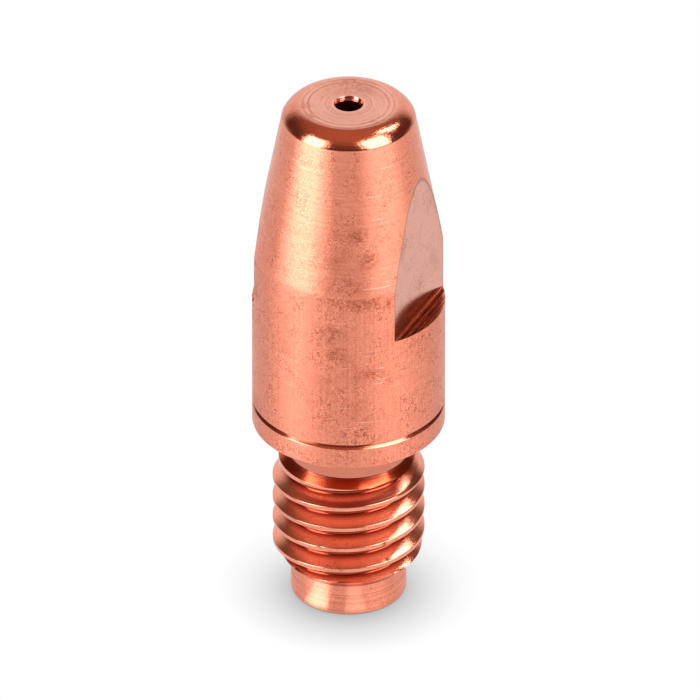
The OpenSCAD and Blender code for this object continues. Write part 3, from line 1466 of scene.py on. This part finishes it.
@dataclass
class Studio:
    """The camera, the pale floor and the soft light round the tip."""

    camera_azimuth: float = 24.8
    camera_elevation: float = 32.3
    camera_distance: float = 1500.0
    sensor_width: float = 36.0
    frame_width: float = 36.24
    aim_height: float = 14.39
    aim_right: float = 0.072
    floor_half: float = 1200.0
    floor_tone: float = 0.8
    shadow_reach: float = 4.0
    shadow_tilt: float = 80.0
    shadow_power: float = 1.25
    shadow_seen: float = 0.88
    shadow_mirrored: float = 0.4
    shadow_least: float = 0.1
    shadow_samples: int = 16
    mirrored_back: float = 0.86
    mirrored_front: float = 1.0
    mirrored_fade: Point = (-0.45, 0.1)
    wall_fade: Point = (-0.60, -0.84)
    room_fade: Point = (0.45, 1.0)
    room_dark: Colour = (0.12, 0.055, 0.038)
    room_top: Colour = (0.50, 0.25, 0.16)
    lights: tuple[SoftBox, ...] = (
        SoftBox("soft_left", -62, 24, 32, 46, 5.5),
        SoftBox("soft_right", 53, 36, 38, 46, 5.5),
        SoftBox("strip_right_a", 108, 53, 2.8, 24, 15.0),
        SoftBox("strip_right_b", 118, 51, 2.6, 22, 15.0),
    )
    cards: tuple[FloorCard, ...] = (
        FloorCard("card_left", -58, 75, 200, 44, 2.6),
        FloorCard("card_right", 50, 80, 200, 44, 1.1),
        FloorCard("card_near", -40, 3.2, 6.4, 22, 2.2, lift=0.05),
        FloorCard("card_front", 8, 3.2, 6.0, 18, 1.0, lift=0.05),
    )

    def direction(self, azimuth: float, elevation: float) -> Vector:
        """Give a direction seen from the tip.

        Args:
            azimuth: Degrees to the right of the camera.
            elevation: Degrees above the floor.

        Returns:
            A unit vector in the tip's frame.
        """
        turn = math.radians(self.camera_azimuth + azimuth)
        rise = math.radians(elevation)
        return Vector((math.sin(turn) * math.cos(rise), -math.cos(turn) * math.cos(rise), math.sin(rise)))

    def target(self) -> Vector:
        """Give the place that the camera looks at."""
        right = self.direction(90, 0)
        return right * self.aim_right * MM + Vector((0, 0, self.aim_height * MM))

    def build(self) -> None:
        """Set up the camera, the lights, the world and the floor."""
        self.add_camera()
        for light in (*self.lights, *self.cards):
            light.build(self)
        self.paint_world()
        self.lay_floor()
        bpy.context.scene.view_settings.view_transform = "Standard"
        bpy.context.scene.cycles.caustics_reflective = False

    def add_camera(self) -> None:
        """Add the camera at the photograph's angle, far off and with a long lens."""
        lens = bpy.data.cameras.new("camera")
        lens.sensor_width = self.sensor_width
        lens.lens = self.sensor_width * self.camera_distance / self.frame_width
        camera = bpy.data.objects.new("camera", lens)
        bpy.context.scene.collection.objects.link(camera)
        back = self.direction(0, self.camera_elevation)
        camera.location = self.target() + back * self.camera_distance * MM
        camera.rotation_euler = back.to_track_quat("Z", "Y").to_euler()
        bpy.context.scene.camera = camera

    def paint_world(self) -> None:
        """Make an even white, in which the metal mirrors a dim room with a white wall behind the tip."""
        world = bpy.data.worlds.new("studio")
        world.use_nodes = True
        bpy.context.scene.world = world
        graph = Graph(world.node_tree)
        mirroring = graph.node("ShaderNodeLightPath").outputs["Is Glossy Ray"]
        way = graph.node("ShaderNodeTexCoord").outputs["Generated"]
        facing = graph.vector("DOT_PRODUCT", way, self.direction(0, 0))
        above = graph.spread(graph.axes(way)["Z"], *self.room_fade)
        room = graph.mix(above, self.room_dark, self.room_top)
        mirrored = graph.mix(graph.spread(facing, *self.wall_fade), room, WHITE)
        shown = graph.mix(mirroring, WHITE, mirrored)
        sky = graph.node("ShaderNodeBackground", {"Color": shown, "Strength": 1.0})
        graph.node("ShaderNodeOutputWorld", {"Surface": sky.outputs["Background"]})

    def lay_floor(self) -> None:
        """Lay the pale floor, which keeps the tip's shadow."""
        Bench.clear()
        bpy.ops.mesh.primitive_plane_add(size=2 * self.floor_half * MM)
        floor = bpy.context.object
        floor.name = "floor"
        made = bpy.data.materials.new("floor_white")
        made.use_nodes = True
        graph = Graph(made.node_tree)
        ray = graph.node("ShaderNodeLightPath").outputs
        seen, mirroring = ray["Is Camera Ray"], ray["Is Glossy Ray"]
        level = self.floor_level(graph, seen)
        shown = graph.node("ShaderNodeEmission", {"Strength": level}).outputs["Emission"]
        paper = graph.node("ShaderNodeBsdfDiffuse", {"Color": (self.floor_tone,) * 3}).outputs["BSDF"]
        share = graph.math("MAXIMUM", seen, mirroring)
        both = graph.node("ShaderNodeMixShader", {0: share, 1: paper, 2: shown})
        graph.node("ShaderNodeOutputMaterial", {"Surface": both.outputs["Shader"]})
        floor.data.materials.append(made)

    def floor_level(self, graph: Graph, seen: bpy.types.NodeSocket) -> bpy.types.NodeSocket:
        """Work out how bright the floor shows, with the tip's shadow, and dimmer behind the tip in the metal.

        Args:
            graph: The floor's graph.
            seen: 1 where the camera itself sees the floor, and 0 where the metal mirrors it.

        Returns:
            The brightness, where 1 is white.
        """
        facing = graph.vector("DOT_PRODUCT", graph.vector("NORMALIZE", graph.place()), self.direction(0, 0))
        mirrored = graph.spread(facing, *self.mirrored_fade, self.mirrored_back, self.mirrored_front)
        tilt = dict(zip("XYZ", self.direction(180, self.shadow_tilt)))
        normal = graph.node("ShaderNodeCombineXYZ", tilt).outputs[0]
        feeds = {"Distance": self.shadow_reach * MM, "Normal": normal}
        shade = graph.node("ShaderNodeAmbientOcclusion", feeds, samples=self.shadow_samples)
        lost = graph.math("POWER", graph.math("SUBTRACT", 1.0, shade.outputs["AO"]), self.shadow_power)
        depth = graph.spread(seen, 0.0, 1.0, self.shadow_mirrored, self.shadow_seen)
        left = graph.math("SUBTRACT", 1.0, graph.math("MULTIPLY", lost, depth))
        lit = graph.math("MAXIMUM", left, self.shadow_least)
        unseen = graph.math("MULTIPLY", mirrored, graph.math("SUBTRACT", 1.0, seen))
        return graph.math("MULTIPLY", graph.math("ADD", seen, unseen), lit)


def main() -> None:
    """Build the tip and its studio."""
    logging.basicConfig(level=logging.INFO, format="%(name)s: %(message)s")
    tip = ContactTip().build()
    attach(tip, "root")
    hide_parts("contact_tip")
    LOG.info("%s has %d faces", tip.name, len(tip.data.polygons))
    Studio().build()


if __name__ == "__main__":
    main()
